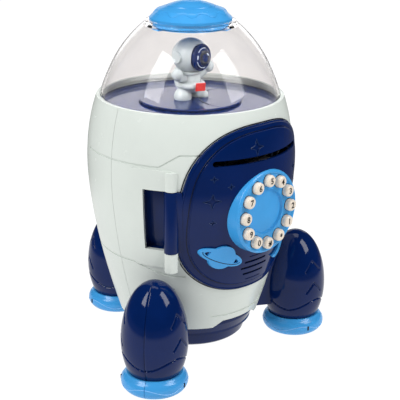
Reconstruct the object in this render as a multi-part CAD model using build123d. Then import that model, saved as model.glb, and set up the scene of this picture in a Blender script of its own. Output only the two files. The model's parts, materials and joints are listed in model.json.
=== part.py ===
from build123d import *
import math
import os

# Rocket money box.  Millimetres, +Z up, floor at z = 0, door facing -Y.
# Pieces are drawn about the body's vertical axis; PLACE then moves them so
# that the origin lies under the middle of the whole object's box.
# Azimuths are degrees about that axis, 0 at the door, positive towards +X.

# ------------------------------------------------------------ driving sizes
TOP_Z = 296.5
RIM_Z = 220.7               # top edge of the white shell
HEM_Z = 35.0                # bottom edge of the white shell
HEM_FRONT_Z = 40.7          # raised middle of that edge, at the front
WALL = 2.6                  # moulded wall of the shell
WIDEST_Z = 165.0
WIDEST_R = 85.4

LEG_AZIMUTHS = {"front_left": -60, "front_right": 60, "rear": 180}
LEG_R = 96.85               # body axis to leg axis
FOOT_R = 27.0
FOOT_TOP_Z = 16.0
BOOSTER_R = 27.0
BOOSTER_WIDEST_Z = 43.0
BOOSTER_RISE, BOOSTER_DROP = 49.6, 44.4    # its two half heights
SPLIT = 0.15                # half the hairline between two moulded halves

STRUT_W = 17.0              # web that joins a booster to the shell
STRUT_Z = (27.0, 76.0)
LEG_SCREW_Z, LEG_SCREW_SIDE = 63.0, 5.2

BASE_Z = 14.4
BASE_R = 47.9
BAY_X, BAY_Y, BAY_TOP = 64.0, 54.0, 35.0    # battery bay
CELL_R, CELL_LENGTH = 7.1, 50.0
FLOOR_Z, FLOOR_R = 54.2, 61.5   # top of the money chamber's floor
DECK_Z = 214.4
DECK_R = 76.2
DOME_R = 73.9
TURN_Z = DECK_Z + 0.3       # underside of the turntable
TURNTABLE_R = 41.9
TURNTABLE_T = 1.8
FIGURE_Z = TURN_Z + TURNTABLE_T
HEAD_Z, HEAD_R = 251.8, 15.2

DOOR_Z = 141.3              # centre height of the door
DOOR_A, DOOR_B = 64.6, 69.4     # half width and half height of its outline
DOOR_POWER = 2.62           # superellipse exponent of the outline
DOOR_BACK, DOOR_RIM, DOOR_FIELD = 0.4, 1.6, 2.4     # heights above the shell
RIM_BAND = 5.5              # width of the door's lower outer band
HOLE_A, HOLE_B = 60.0, 65.0
TUB_A, TUB_B = 48.0, 60.0
TUB_BACK_Y = -46.0

HINGE_AZ, HINGE_R = -53.5, 83.5
BARREL_R = 5.75
BARREL_Z = (112.1, 162.4)
BOSS_Z = (96.0, 178.0)
WINDOW_AZ, WINDOW_W = -58.75, 30.0      # recess beside the barrel
WINDOW_Z = (BARREL_Z[0] - 0.4, BARREL_Z[1] + 0.4)
PIN_R = 1.5
PIN_GAP = 0.05

BOLT_X = (30.0, 58.3)       # the bolt drawn back; it slides 4.5 towards +X to lock
BOLT_Y, BOLT_T, BOLT_W = -49.75, 3.0, 8.0
BOLT_BEVEL = 1.2

SLOT_Z, SLOT_HALF, SLOT_H = 184.75, 46.5, 4.6

DIAL_Z = 140.0
DIAL_R = 33.7
DIAL_FACE = 88.4            # distance of the dial's flat face from the axis
DIAL_RIM = 1.0              # how far its rounded rim stands above the face
DIAL_RECESS_R = 17.4
SLEEVE_R = 32.6             # outside of the dial's sleeve, let into the door
KEY_CIRCLE_R = 25.85
KEY_R, KEY_GAP, KEY_H = 4.9, 0.35, 4.8
KEY_TRAVEL = 1.5
FIRST_KEY_ANGLE = -30       # key 1, anticlockwise from +X as seen from the front
KEY_NAMES = ("1", "2", "3", "4", "5", "6", "7", "8", "9", "0", "hash", "star")

GEAR_TEETH, PINION_TEETH, GEAR_MODULE = 40, 12, 1.0
GEAR_SPACING = (GEAR_TEETH + PINION_TEETH) * GEAR_MODULE / 2 + 0.15
GEAR_Z = 205.9
SHAFT_R = 3.0

ROLLER_R, ROLLER_HALF, ROLLER_Y = 4.0, 24.0, -64.0
FEED_TEETH, FEED_PINION_TEETH, FEED_MODULE = 24, 12, 0.5
FEED_SPACING = (FEED_TEETH + FEED_PINION_TEETH) * FEED_MODULE / 2 + 0.1
FEED_GEAR_X = 31.4
SMALL_SHAFT_R = 1.0
NIP = 0.15                  # half the gap between the two rollers
FEED_Z = SLOT_Z - ROLLER_R - NIP
IDLER_Z = SLOT_Z + ROLLER_R + NIP
FEED_MOTOR_Z = FEED_Z - FEED_SPACING

FRONT_REACH = DIAL_FACE + KEY_H
REAR_REACH = LEG_R + FOOT_R
PLACE = Pos(0, (FRONT_REACH - REAR_REACH) / 2, 0)


# ------------------------------------------------------------ shared helpers
def body_radius(z):
    """Outer radius of the egg-shaped shell at height z."""
    if z < WIDEST_Z:
        return WIDEST_R - 30.5 * ((WIDEST_Z - z) / 145) ** 1.64
    return WIDEST_R - 7.8 * ((z - WIDEST_Z) / 54) ** 2.27


def body_curve(z0, z1, offset):
    """Upward profile of the shell between two heights, moved outwards by offset."""
    steps = max(3, round((z1 - z0) / 16))
    heights = [z0 + (z1 - z0) * i / steps for i in range(steps + 1)]
    return Spline(*[(body_radius(z) + offset, 0, z) for z in heights])


def spin(*edges):
    """Solid of revolution about Z of the closed outline made by the edges."""
    return revolve(make_face(Curve() + list(edges)), Axis.Z)


def turned(points):
    """Solid of revolution about Z of a straight-sided outline of (r, z) points."""
    corners = [(r, 0, z) for r, z in points]
    return revolve(make_face(Polyline(*corners, close=True)), Axis.Z)


def skin(z0, z1, inner, outer):
    """Layer that follows the shell, between two offsets from its outer face."""
    outside, inside = body_curve(z0, z1, outer), body_curve(z0, z1, inner)
    return spin(outside, Line(outside @ 1, inside @ 1), inside, Line(inside @ 0, outside @ 0))


def prism(outline, azimuth=0, near=30, far=130):
    """Push an outline, drawn in x and z, outwards from the axis at an azimuth."""
    return Rot(0, 0, azimuth) * extrude(Plane.XZ.offset(near) * outline, far - near)


def oval(half_width, half_height, z=DOOR_Z):
    """Superellipse outline centred on the door."""
    points = []
    for i in range(48):
        c, s = math.cos(math.tau * i / 48), math.sin(math.tau * i / 48)
        reach = (abs(c) ** DOOR_POWER + abs(s) ** DOOR_POWER) ** (-1 / DOOR_POWER)
        points.append((half_width * c * reach, z + half_height * s * reach))
    return make_face(Spline(*points, periodic=True))


def block(width, z0, z1, corner=0.0):
    """Rectangle in x and z, centred on x = 0, with rounded corners."""
    middle = Pos(0, (z0 + z1) / 2)
    if corner:
        return middle * RectangleRounded(width, z1 - z0, corner)
    return middle * Rectangle(width, z1 - z0)


def star(x, z, reach):
    """Four-pointed star outline."""
    points = []
    for i in range(8):
        r = reach if i % 2 == 0 else 0.3 * reach
        points.append((x + r * math.sin(math.tau * i / 8), z + r * math.cos(math.tau * i / 8)))
    return make_face(Polyline(*points, close=True))


def band(points, width):
    """Ribbon outline of constant height along a chain of points in x and z."""
    upper = [(x, z + width / 2) for x, z in points]
    lower = [(x, z - width / 2) for x, z in reversed(points)]
    return make_face(Polyline(*upper, *lower, close=True))


def at_azimuth(azimuth, radius, z=0.0):
    """Location of a point given by azimuth, distance from the axis and height."""
    a = math.radians(azimuth)
    return Pos(radius * math.sin(a), -radius * math.cos(a), z)


def rod(radius, z0, z1):
    """Vertical cylinder on the axis."""
    return Pos(0, 0, z0) * Cylinder(radius, z1 - z0, align=(Align.CENTER, Align.CENTER, Align.MIN))


def rod_x(radius, x0, x1, y, z):
    """Cylinder along X."""
    place = Pos(x0, y, z) * Rot(0, 90, 0)
    return place * Cylinder(radius, x1 - x0, align=(Align.CENTER, Align.CENTER, Align.MIN))


def rod_y(radius, y0, y1, x, z):
    """Cylinder along Y."""
    place = Pos(x, y0, z) * Rot(-90, 0, 0)
    return place * Cylinder(radius, y1 - y0, align=(Align.CENTER, Align.CENTER, Align.MIN))


def spur_gear(teeth, module, width):
    """Gear about Z with a tooth on +X; its straight-sided teeth leave backlash."""
    pitch = teeth * module / 2
    step = math.tau / teeth
    points = []
    for i in range(teeth):
        for r, turn in ((-1.2, -0.30), (0.85, -0.10), (0.85, 0.10), (-1.2, 0.30)):
            a = step * (i + turn)
            points.append(((pitch + r * module) * math.cos(a), (pitch + r * module) * math.sin(a)))
    return extrude(make_face(Polyline(*points, close=True)), width)


def half_space(side):
    """Big block on one side of the hairline at y = 0; side is -1 or +1."""
    return Pos(0, side * (200 + SPLIT), 150) * Box(400, 400, 400)


def save(name, shape):
    export_step(PLACE * shape, f"parts/{name}.step")


# ------------------------------------------------------------ white shell
HINGE = at_azimuth(HINGE_AZ, HINGE_R)
SHELL_SCREWS = [(side, body_radius(z) - 8.0, z) for z in (76.0, 188.0) for side in (-1, 1)]


def panel_grooves():
    """Shallow joint lines moulded round both sides of the shell."""
    layer = skin(80, 200, -0.7, 1.0)
    grooves = []
    for side in (-1, 1):
        upper = [(-45, 181), (34, 181), (48, 191), (60, 191)]
        lower = [(-45, 96.5), (8, 96.5), (34, 88.2), (46, 88.2)]
        for line in (upper, lower):
            ribbon = band([(-side * x, z) for x, z in line], 1.3)
            grooves.append(layer & prism(ribbon, side * 84))
    return grooves


def hinge_boss():
    """Upright boss that holds the hinge pin, webbed back to the shell."""
    height = BOSS_Z[1] - BOSS_Z[0]
    web = Pos(0, 7, BOSS_Z[0] + height / 2) * Box(7, 14, height)
    return HINGE * (rod(BARREL_R - 0.4, *BOSS_Z) + Rot(0, 0, HINGE_AZ) * web)


def shell():
    outer = body_curve(HEM_Z, RIM_Z, 0)
    inner = body_curve(HEM_Z, RIM_Z - 6, -WALL)
    lip_r = DOME_R + 0.3
    lip = Polyline(outer @ 1, (lip_r, 0, RIM_Z), (lip_r, 0, RIM_Z - 3.5), (DECK_R + 0.1, 0, RIM_Z - 3.5),
                   (DECK_R + 0.1, 0, RIM_Z - 6), inner @ 1)
    body = spin(outer, lip, inner, Line(inner @ 0, outer @ 0))
    body -= prism(oval(HOLE_A, HOLE_B))
    notch = Polyline((-26, HEM_Z - 1), (-17.5, HEM_FRONT_Z), (17.5, HEM_FRONT_Z), (26, HEM_Z - 1),
                     close=True)
    body -= prism(make_face(notch))
    body -= skin(44, 70, -0.8, 1.0) & prism(block(62, 46, 66, 5))
    for groove in panel_grooves():
        body -= groove
    hinge_panel = skin(90, 184, -1.0, 1.2) & prism(block(40, 96, 179, 6), -64)
    body += hinge_panel - prism(oval(DOOR_A + 1.0, DOOR_B + 1.0))
    body += hinge_boss() & skin(90, 184, -WALL, 14)
    body -= skin(108, 166, -9, 15) & prism(block(WINDOW_W, *WINDOW_Z), WINDOW_AZ)
    body -= HINGE * rod(PIN_R + PIN_GAP, BOSS_Z[0] + 3, BOSS_Z[1] - 3)
    for side, x, z in SHELL_SCREWS:
        post = rod_y(4.0, -9, 9, side * x, z) + Pos(side * (x + 3.5), 0, z) * Box(7, 18, 8)
        body += post & skin(60, 200, -20, -0.5)
        body -= rod_y(1.45, -8, 10, side * x, z)
    for azimuth in LEG_AZIMUTHS.values():
        for side in (-1, 1):
            spot = Rot(0, 0, azimuth - 90) * Pos(0, side * LEG_SCREW_SIDE, LEG_SCREW_Z)
            body -= spot * rod_x(1.45, 40, 90, 0, 0)
    return body


def hinge_recess_plate():
    """Dark liner behind the window that the hinge barrel turns in."""
    outline = block(WINDOW_W + 3.2, WINDOW_Z[0] - 1.6, WINDOW_Z[1] + 1.6)
    liner = skin(106, 168, -10, -WALL - 0.1) & prism(outline, WINDOW_AZ)
    liner -= skin(104, 170, -8.4, 2) & prism(block(WINDOW_W, *WINDOW_Z), WINDOW_AZ)
    return liner - HINGE * rod(PIN_R + 0.5, *BOSS_Z)


def shell_screws():
    screws = []
    for side, x, z in SHELL_SCREWS:
        screws.append(rod_y(1.4, -7.5, 9.0, side * x, z) + rod_y(2.6, 9.0, 11.0, side * x, z))
    return Compound(screws)


# ------------------------------------------------------------ base and battery bay
def base_cover():
    """Stepped tub that closes the bottom, with the battery bay in its floor."""
    top_r = body_radius(HEM_Z) - WALL - 0.4
    outer = [(0, BASE_Z), (BASE_R - 1.5, BASE_Z), (BASE_R, BASE_Z + 1.5), (BASE_R + 3, 26.0),
             (top_r - 3.2, 26.0), (top_r - 3.2, 28.0), (top_r, HEM_Z), (top_r, HEM_Z + 7)]
    inner = [(top_r - 2.4, HEM_Z + 7), (top_r - 2.4, HEM_Z + 1), (top_r - 5.8, 28.4), (BASE_R + 0.4, 28.4),
             (BASE_R - 2.6, BASE_Z + 2.4), (0, BASE_Z + 2.4)]
    tub = turned(outer + inner)
    tub += Pos(0, 0, BASE_Z) * Box(BAY_X + 4, BAY_Y + 4, BAY_TOP - BASE_Z + 2,
                                   align=(Align.CENTER, Align.CENTER, Align.MIN))
    tub -= Pos(0, 0, BASE_Z - 1) * Box(BAY_X, BAY_Y, BAY_TOP - BASE_Z + 1,
                                       align=(Align.CENTER, Align.CENTER, Align.MIN))
    return tub


def battery_cover():
    plate = Pos(0, 0, BASE_Z) * extrude(RectangleRounded(BAY_X - 0.5, BAY_Y - 0.5, 2), 2.2)
    for x in (-8, -4, 0, 4, 8):
        plate -= Pos(x, BAY_Y / 2 - 9, BASE_Z) * Box(1.6, 8, 1.2)
    return plate


def batteries():
    cells = []
    for y in (-16, 0, 16):
        nub = rod_x(2.5, CELL_LENGTH / 2, CELL_LENGTH / 2 + 1.2, y, 26)
        cells.append(rod_x(CELL_R, -CELL_LENGTH / 2, CELL_LENGTH / 2, y, 26) + nub)
    return Compound(cells)


def chamber_floor():
    """Disc with a stiffening rim below it."""
    under = FLOOR_Z - 2.2
    rim = rod(FLOOR_R, under - 3, under) - rod(FLOOR_R - 2, under - 3, under)
    return rod(FLOOR_R, under, FLOOR_Z) + rim


# ------------------------------------------------------------ deck, turntable and dome
MOTOR = Pos(0, GEAR_SPACING, 0)


def deck():
    plate = rod(DECK_R, DECK_Z - 2.5, DECK_Z) + rod(6.5, DECK_Z - 4.3, DECK_Z - 2.5)
    return plate - rod(SHAFT_R + PIN_GAP, DECK_Z - 5, DECK_Z + 1)


def turntable():
    """Thin disc on a shaft, with a curved line engraved across it."""
    edge = [(0, TURN_Z), (TURNTABLE_R - 0.4, TURN_Z), (TURNTABLE_R, TURN_Z + 0.4),
            (TURNTABLE_R, TURN_Z + 1.2), (TURNTABLE_R - 0.6, FIGURE_Z), (0, FIGURE_Z)]
    disc = turned(edge)
    disc -= Pos(34, -31, FIGURE_Z) * (Cylinder(40, 0.6) - Cylinder(39.2, 0.6))
    return disc + rod(SHAFT_R, GEAR_Z - 4, TURN_Z)


def turntable_gear():
    wheel = Pos(0, 0, GEAR_Z) * spur_gear(GEAR_TEETH, GEAR_MODULE, 3.6)
    return wheel - rod(SHAFT_R + 0.02, GEAR_Z - 1, GEAR_Z + 5)


def motor_pinion():
    turn = Rot(0, 0, 180 / PINION_TEETH)
    wheel = Pos(0, 0, GEAR_Z - 0.3) * turn * spur_gear(PINION_TEETH, GEAR_MODULE, 4.2)
    return MOTOR * (wheel - rod(1.05, GEAR_Z - 1, GEAR_Z + 5))


def turntable_motor():
    can = rod(9.0, 189.0, 204.0) + rod(3.2, 204.0, 204.9)
    return MOTOR * (can + rod(1.0, 204.9, 209.5))


def gearbox_cover():
    """Round cup that hangs under the deck and holds the motor."""
    return Pos(0, 8, 0) * (rod(38, 186.5, DECK_Z - 2.5) - rod(36, 188.8, DECK_Z))


def dome():
    """Clear cover with a flat collar at the top that holds the cap."""
    outer = Spline((DOME_R, 0, 221), (66.9, 0, 240), (59.0, 0, 255), (47.2, 0, 270), (37.6, 0, 279),
                   tangents=[(-0.25, 0, 1), (-1, 0, 0.85)])
    inner = Spline((DOME_R - 2, 0, 220.6), (65.1, 0, 239), (57.3, 0, 254), (45.8, 0, 268.8), (37.6, 0, 276.6),
                   tangents=[(-0.25, 0, 1), (-1, 0, 0.85)])
    collar = Polyline(outer @ 1, (36.6, 0, 279.3), (36.6, 0, 281.0), (31.0, 0, 281.0), (31.0, 0, 277.0),
                      (34.6, 0, 277.0), inner @ 1)
    foot = Polyline(inner @ 0, (DOME_R - 2, 0, DECK_Z), (DOME_R, 0, DECK_Z), outer @ 0)
    return spin(outer, collar, inner, foot)


def dome_cap():
    """Stepped cap with a plug and two snap tabs below it."""
    underside = [(0, 292.4), (16.5, 289.0), (26.0, 285.6), (30.8, 283.0), (30.8, 281.1)]
    upper_side = [(33.6, 281.1), (33.4, 283.0), (27.6, 288.6), (19.6, 291.4), (19.0, 292.6), (13.0, 294.6),
                  (7.0, 296.0), (0, TOP_Z)]
    cap = turned(underside + upper_side) + (rod(30.7, 275.0, 283.2) - rod(28.7, 275.0, 283.2))
    for azimuth in (-100, 20, 140):
        tab = Pos(0, -31.2, 275.4) * Box(9, 4.6, 1.6)
        cap += Rot(0, 0, azimuth) * tab
    return cap


# ------------------------------------------------------------ astronaut figure
def astronaut_body():
    """Torso, backpack, arms and boots, standing at the middle of the turntable."""
    torso = Pos(0, 0, 232) * scale(Sphere(9.4), (1.0, 0.86, 1.12))
    figure = torso + Pos(0, 7.5, 233.5) * Box(12.5, 7.5, 12)
    figure += Pos(0, 0, 227) * scale(Sphere(9.0), (1.0, 0.9, 0.5))
    for side in (-1, 1):
        leg = Pos(side * 5.4, 0, FIGURE_Z + 6) * scale(Sphere(4.9), (1, 1, 1.6))
        boot = Pos(side * 6.0, -1.8, FIGURE_Z + 3.2) * scale(Sphere(6.0), (0.95, 1.25, 0.75))
        arm = Pos(side * 11.2, -1.5, 236.5) * Rot(0, side * 48, 0) * scale(Sphere(4.0), (0.95, 0.95, 1.9))
        fist = Pos(side * 15.6, -2.2, 240.5) * Sphere(4.1)
        figure += [leg, boot, arm, fist]
    figure &= Pos(0, 0, FIGURE_Z) * Box(60, 60, 60, align=(Align.CENTER, Align.CENTER, Align.MIN))
    return figure


def astronaut_visor():
    """Oval visor with its rim, let into the front of the helmet."""
    return Pos(0, -HEAD_R + 3.2, HEAD_Z - 0.6) * scale(Sphere(10.4), (1.0, 0.52, 1.16))


def astronaut_helmet(figure, visor):
    helmet = Pos(0, 0, HEAD_Z) * scale(Sphere(HEAD_R), (1.0, 1.0, 0.94))
    for side in (-1, 1):
        helmet += Pos(side * (HEAD_R - 0.6), 0, HEAD_Z) * Rot(0, 90, 0) * Cylinder(4.6, 3.6)
    return helmet - figure - visor


# ------------------------------------------------------------ legs
def booster_form(inset):
    """Egg of the booster, with its open end down; inset moves the face inwards."""
    r, rise, drop = BOOSTER_R - inset, BOOSTER_RISE - inset, BOOSTER_DROP - inset
    bottom = FOOT_TOP_Z - 1.5
    start = math.asin((BOOSTER_WIDEST_Z - bottom) / drop)
    points = []
    for i in range(12):
        a = start * (i / 4 - 1) if i < 4 else math.pi / 2 * (i - 4) / 7
        height = drop if a < 0 else rise
        points.append((r * math.cos(a), 0, BOOSTER_WIDEST_Z + height * math.sin(a)))
    top, low = (0, 0, BOOSTER_WIDEST_Z + rise), (0, 0, bottom)
    rising = (r * math.sin(start), 0, drop * math.cos(start))
    outline = Spline(*points[:-1], top, tangents=[rising, (-1, 0, 0)])
    return spin(outline, Line(top, low), Line(low, outline @ 0))


def booster():
    """Hollow egg and the strut that joins it to the body, drawn on the leg's axis."""
    egg = booster_form(0)
    clear_of_body = Pos(-LEG_R, 0, 0) * skin(20, 100, -50, 0.1)
    strut = Pos(-33, 0, sum(STRUT_Z) / 2) * Box(56, STRUT_W, STRUT_Z[1] - STRUT_Z[0])
    strut -= clear_of_body
    whole = egg + strut - booster_form(2.2)
    for side in (-1, 1):
        whole -= rod_x(1.35, -50, -10, side * LEG_SCREW_SIDE, LEG_SCREW_Z)
    return whole


def foot():
    """Hollow ring foot, flat underneath, that cups the booster's lower end."""
    side = Spline((19.5, 0, 0), (25.6, 0, 3.6), (FOOT_R, 0, 8.2), (25.2, 0, 13.2), (22.9, 0, FOOT_TOP_Z),
                  tangents=[(1, 0, 0.12), (-0.62, 0, 1)])
    hollow = Polyline(side @ 1, (20.4, 0, FOOT_TOP_Z), (20.4, 0, 14.3), (22.9, 0, 12.0), (23.8, 0, 8.2),
                      (22.4, 0, 4.4), (18.6, 0, 2.4), (0, 0, 2.4), (0, 0, 0), (19.5, 0, 0))
    ring = spin(side, hollow)
    return ring - booster_form(-0.05)


def leg_screws():
    screws = []
    seat = body_radius(LEG_SCREW_Z) - WALL - 1.6
    shank = rod_x(1.3, seat, seat + 15, 0, 0) + rod_x(2.8, seat - 2.2, seat, 0, 0)
    for azimuth in LEG_AZIMUTHS.values():
        for side in (-1, 1):
            screws.append(Rot(0, 0, azimuth - 90) * Pos(0, side * LEG_SCREW_SIDE, LEG_SCREW_Z) * shank)
    return Compound(screws)


# ------------------------------------------------------------ door
def along_dial(shape):
    """Move a shape drawn about Z, front up, onto the dial's axis facing -Y."""
    return Pos(0, 0, DIAL_Z) * Rot(90, 0, 0) * shape


def door_panel():
    low, high = DOOR_Z - DOOR_B - 2, DOOR_Z + DOOR_B + 2
    panel = skin(low, high, DOOR_BACK, DOOR_RIM) & prism(oval(DOOR_A, DOOR_B))
    panel += skin(low, high, DOOR_BACK + 0.6, DOOR_FIELD) & prism(oval(DOOR_A - RIM_BAND, DOOR_B - RIM_BAND))
    panel += skin(108, 166, DOOR_BACK + 0.2, DOOR_FIELD - 0.3) & prism(block(9.0, *BARREL_Z), HINGE_AZ + 3.0)
    panel += HINGE * rod(BARREL_R, *BARREL_Z)
    panel -= HINGE * rod(PIN_R + PIN_GAP, BARREL_Z[0] - 1, BARREL_Z[1] + 1)
    panel -= prism(Pos(0, SLOT_Z) * SlotOverall(2 * SLOT_HALF, SLOT_H))
    panel -= along_dial(rod(SLEEVE_R + 0.1, 40, 120))
    layer = skin(low, high, DOOR_FIELD - 0.6, DOOR_FIELD + 2)
    for x, z, reach in ((-10, 194, 6), (-46.5, 155, 6), (-45.8, 173, 2.2), (-33.5, 166, 2.2),
                        (-45, 137, 2.2), (44, 166, 4), (50, 152, 2.2)):
        panel -= layer & prism(star(x, z, reach))
    for z, left, right in ((96.4, -12.8, 11.4), (91.2, -15.5, 13.7), (85.6, -12.4, 10.7)):
        panel -= prism(Pos((left + right) / 2, z) * SlotOverall(right - left, 1.8))
    for z, half in ((101.2, 9.0), (80.2, 8.5)):
        panel -= layer & prism(Pos(0, z) * SlotOverall(2 * half, 0.9))
    return panel


def door_back_cover():
    low, high = DOOR_Z - TUB_B - 2, DOOR_Z + TUB_B + 2
    inside_panel = skin(low, high, -60, DOOR_BACK - 0.1)
    outside = inside_panel & prism(oval(TUB_A, TUB_B), near=-TUB_BACK_Y)
    inside = skin(low, high, -60, DOOR_BACK + 2) & prism(oval(TUB_A - 2, TUB_B - 2), near=-TUB_BACK_Y + 2)
    cover = outside - inside
    cover -= Pos(0, TUB_BACK_Y, SLOT_Z) * Box(68, 12, SLOT_H)
    cover -= Pos(0, -80, SLOT_Z) * Box(120, 30, SLOT_H + 0.6)
    cover -= Pos(TUB_A, BOLT_Y, DOOR_Z) * Box(14, BOLT_T + 0.4, BOLT_W + 0.4)
    return cover


def latch_bolt():
    """Flat bolt with a bevelled nose and a slot for the motor's crank."""
    nose = BOLT_X[1]
    front, back = BOLT_Y - BOLT_T / 2, BOLT_Y + BOLT_T / 2
    outline = Polyline((BOLT_X[0], front), (nose - BOLT_BEVEL, front), (nose, front + BOLT_BEVEL),
                       (nose, back), (BOLT_X[0], back), close=True)
    bolt = Pos(0, 0, DOOR_Z - BOLT_W / 2) * extrude(make_face(outline), BOLT_W)
    return bolt - Pos(BOLT_X[0] + 5, BOLT_Y, DOOR_Z) * Box(4, 10, 4)


def latch_motor():
    can = Pos(16, -55.8, DOOR_Z) * Box(16, 14.4, 14) + rod_x(1.0, 24, 32, -56, DOOR_Z)
    return can + rod_x(3.0, 26, 28, -56.5, DOOR_Z)


def hinge_pin():
    return HINGE * rod(PIN_R, BOSS_Z[0] + 4, BOSS_Z[1] - 4)


def planet_emblem():
    """Disc with a tilted ring that crosses in front of it."""
    low, high = 80, 135
    place = Pos(-35, 106) * Rot(0, 0, -24)
    ring = Ellipse(18.5, 6.2) - (Ellipse(14.8, 3.1) - Circle(11.2))
    plate = skin(low, high, DOOR_FIELD + 0.05, DOOR_FIELD + 1.9) & prism(place * (ring + Circle(10.0)))
    line = (Ellipse(16.6, 4.6) - Ellipse(15.9, 4.0)) & Pos(0, -10) * Rectangle(60, 20)
    return plate - (skin(low, high, DOOR_FIELD + 1.4, DOOR_FIELD + 3) & prism(place * line))


def moon_emblem():
    """Crescent below the dial, its horns towards the upper left."""
    crescent = Circle(9.5) - Pos(-6.0, 2.0) * Circle(8.2)
    return skin(84, 115, DOOR_FIELD + 0.05, DOOR_FIELD + 1.9) & prism(Pos(27.5, 99.5) * crescent)


# ------------------------------------------------------------ dial and keys
def key_spots():
    """Name and (x, y) of each key, drawn about the dial's axis."""
    for i, name in enumerate(KEY_NAMES):
        a = math.radians(FIRST_KEY_ANGLE + 30 * i)
        yield name, KEY_CIRCLE_R * math.cos(a), KEY_CIRCLE_R * math.sin(a)


def dial_ring():
    """Face with a rounded rim, a central hollow and twelve key holes."""
    face, back = DIAL_FACE, DIAL_FACE - 2.0
    rim_top = Spline((DIAL_R + 0.6, 0, face - 1.4), (DIAL_R, 0, face + 0.4), (32.4, 0, face + DIAL_RIM),
                     (31.2, 0, face + 0.5), (30.6, 0, face))
    hollow, pan = DIAL_RECESS_R, DIAL_RECESS_R + 1.6
    front = Polyline(rim_top @ 1, (hollow + 1.0, 0, face), (hollow, 0, face - 1.8), (0, 0, face - 1.8),
                     (0, 0, face - 3.6), (pan, 0, face - 3.6), (pan, 0, back), (SLEEVE_R - 1.0, 0, back),
                     (SLEEVE_R - 1.0, 0, 78), (SLEEVE_R, 0, 78), (SLEEVE_R, 0, 72),
                     (DIAL_R + 1.4, 0, 72), rim_top @ 0)
    ring = along_dial(spin(rim_top, front))
    behind_face = skin(DOOR_Z - DOOR_B, DOOR_Z + DOOR_B, -60, DOOR_FIELD + 0.05)
    ring -= behind_face - along_dial(rod(SLEEVE_R, 0, 120))
    for _, x, y in key_spots():
        ring -= along_dial(Pos(x, y, 0) * rod(KEY_R + KEY_GAP, face - 3, face + 3))
    return ring


def key(x, y):
    """Round key cap with a retaining flange behind the dial's face."""
    top = DIAL_FACE + KEY_H
    cap = turned([(0, 85.3), (5.6, 85.3), (5.6, 86.2), (KEY_R, 86.2), (KEY_R, top - 1.6),
                  (KEY_R - 0.4, top - 0.7), (KEY_R - 1.2, top - 0.15), (0, top)])
    return along_dial(Pos(x, y, 0) * cap)


def keypad_mat():
    return along_dial(rod(29.2, 82.7, 83.5) - rod(19.2, 82.0, 84.0))


def circuit_board():
    board = rod(29.0, 81.0, 82.6)
    for x, y, w in ((-10, 6, 9), (8, -8, 6), (10, 9, 5)):
        board += Pos(x, y, 80.2) * Box(w, w, 1.6)
    return along_dial(board)


def speaker():
    """Small round loudspeaker behind the grille."""
    cone = rod(9.0, 66.5, 69.5) + rod(6.0, 61.0, 66.5)
    return Pos(0, 0, 93.0) * Rot(90, 0, 0) * cone


# ------------------------------------------------------------ banknote feed
def gear_x(gear):
    """Turn a gear drawn about Z so that it lies about X, its marked tooth down."""
    return Rot(0, 90, 0) * gear


def feed_roller():
    roller = rod_x(ROLLER_R, -ROLLER_HALF, ROLLER_HALF, ROLLER_Y, FEED_Z)
    shaft = rod_x(SMALL_SHAFT_R, -30, FEED_GEAR_X + 2.2, ROLLER_Y, FEED_Z)
    gear = Pos(FEED_GEAR_X, ROLLER_Y, FEED_Z) * gear_x(spur_gear(FEED_TEETH, FEED_MODULE, 2.2))
    return roller + shaft + gear


def feed_pinion():
    wheel = spur_gear(FEED_PINION_TEETH, FEED_MODULE, 2.6) - rod(0.92, -1, 4)
    turn = Rot(0, 0, 180 / FEED_PINION_TEETH)
    return Pos(FEED_GEAR_X - 0.2, ROLLER_Y, FEED_MOTOR_Z) * gear_x(turn * wheel)


def idler_roller():
    roller = rod_x(ROLLER_R, -ROLLER_HALF, ROLLER_HALF, ROLLER_Y, IDLER_Z)
    return roller + rod_x(SMALL_SHAFT_R, -30, 30, ROLLER_Y, IDLER_Z)


def feed_frame():
    """Two side plates on a bridge that carry both rollers and the motor."""
    frame = Pos(0, ROLLER_Y + 11, 168.5) * Box(56, 2.0, 3.0)
    for x in (-27.0, 27.0):
        frame += Pos(x, ROLLER_Y + 4, 179.5) * Box(2.0, 16, 25)
    for z in (FEED_Z, IDLER_Z):
        frame -= rod_x(SMALL_SHAFT_R + PIN_GAP, -40, 40, ROLLER_Y, z)
    return frame - rod_x(2.0, 20, 40, ROLLER_Y, FEED_MOTOR_Z)


def feed_motor():
    can = rod_x(4.7, -2, 25.9, ROLLER_Y, FEED_MOTOR_Z)
    return can + rod_x(0.9, 25.9, FEED_GEAR_X + 2.0, ROLLER_Y, FEED_MOTOR_Z)


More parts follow.
